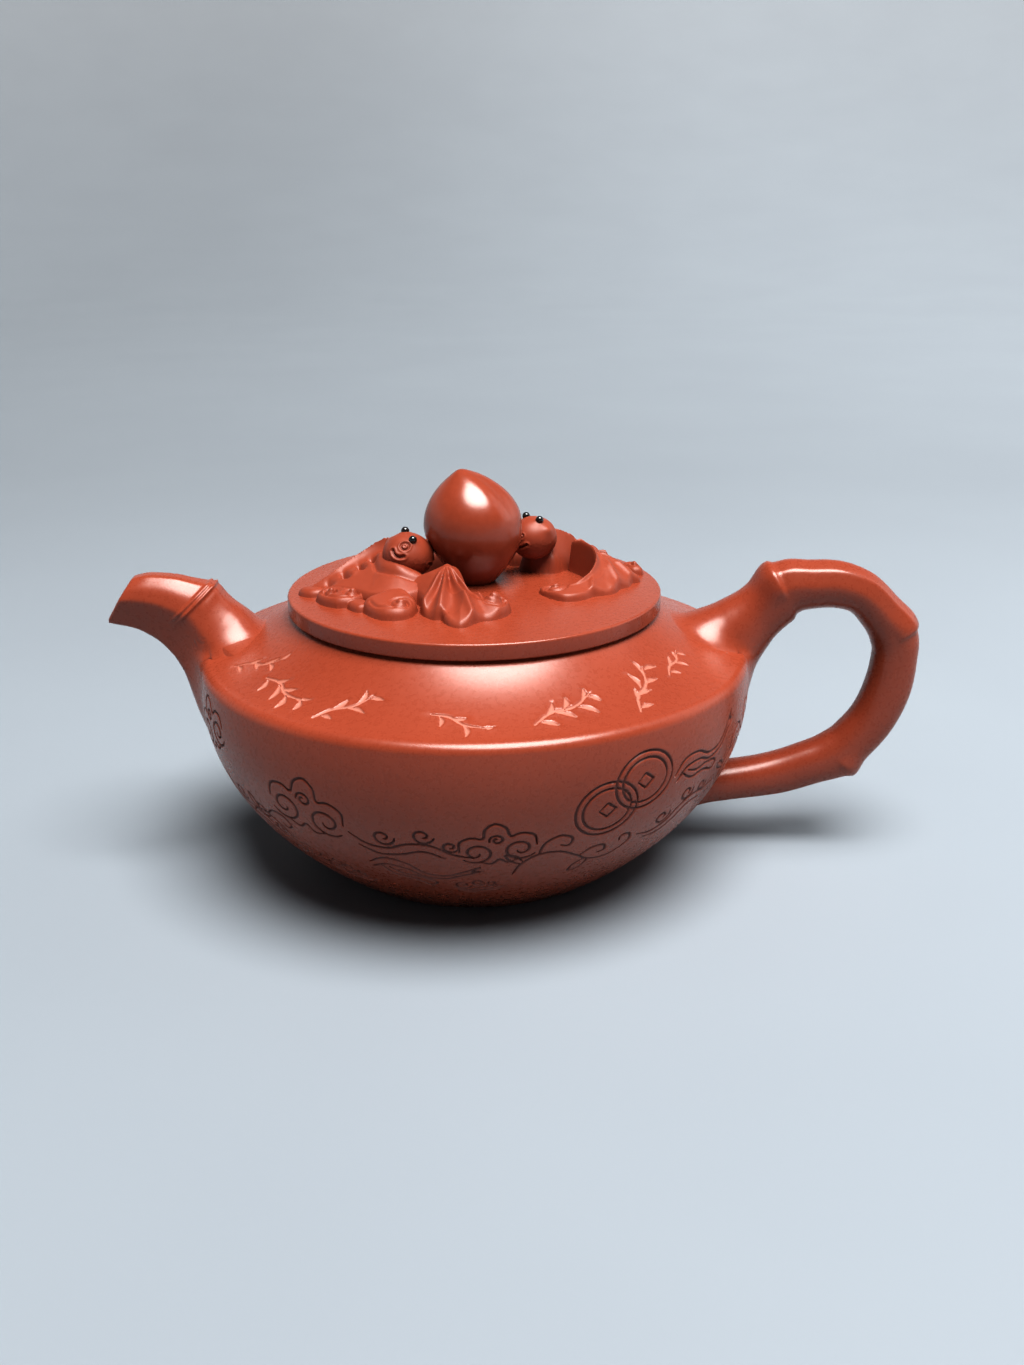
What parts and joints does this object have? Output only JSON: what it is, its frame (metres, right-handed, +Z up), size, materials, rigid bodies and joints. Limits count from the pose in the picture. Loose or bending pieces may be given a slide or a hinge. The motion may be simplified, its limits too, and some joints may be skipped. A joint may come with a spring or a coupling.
{
  "type": "clay teapot",
  "caption": "Round keeled unglazed red clay teapot with faceted spout, ear handle, and a lift-off lid carrying a peach knob and relief bats.",
  "frame": {"origin": "centre of the flat base, on the axis of the round body", "axes": "+Z up along the body's axis, +X towards the handle, -X towards the spout, -Y the side seen in the picture"},
  "size_m": [0.1718, 0.1156, 0.0836],
  "materials": {
    "red_clay": "satin unglazed red clay",
    "black_bead": "glossy black"
  },
  "bodies": {
    "pot": {"base_plate": "red_clay", "lower_bowl": "red_clay", "shoulder_shell": "red_clay", "mouth_ring": "red_clay", "spout": "red_clay", "spout_strainer": "red_clay", "handle": "red_clay"},
    "lid_carrier": {"lid_flange": "red_clay"},
    "lid": {"lid_plate": "red_clay", "peach_knob": "red_clay", "left_bat_body": "red_clay", "left_bat_head": "red_clay", "left_bat_front_wing": "red_clay", "left_bat_rear_wing": "red_clay", "left_bat_cloud_lobes": "red_clay", "right_bat_body": "red_clay", "right_bat_head": "red_clay", "right_bat_front_wing": "red_clay", "right_bat_rear_wing": "red_clay", "right_bat_tail": "red_clay", "left_bat_eyes": "black_bead", "right_bat_eyes": "black_bead"}
  },
  "joints": [
    {"name": "lid_lift", "type": "slide", "parent": "pot", "child": "lid_carrier", "axis": [0, 0, 1], "range_m": [0, 0.06]},
    {"name": "lid_turn", "type": "hinge", "parent": "lid_carrier", "child": "lid", "pos_m": [0, 0, 0.05527], "axis": [0, 0, 1], "continuous": true}
  ]
}
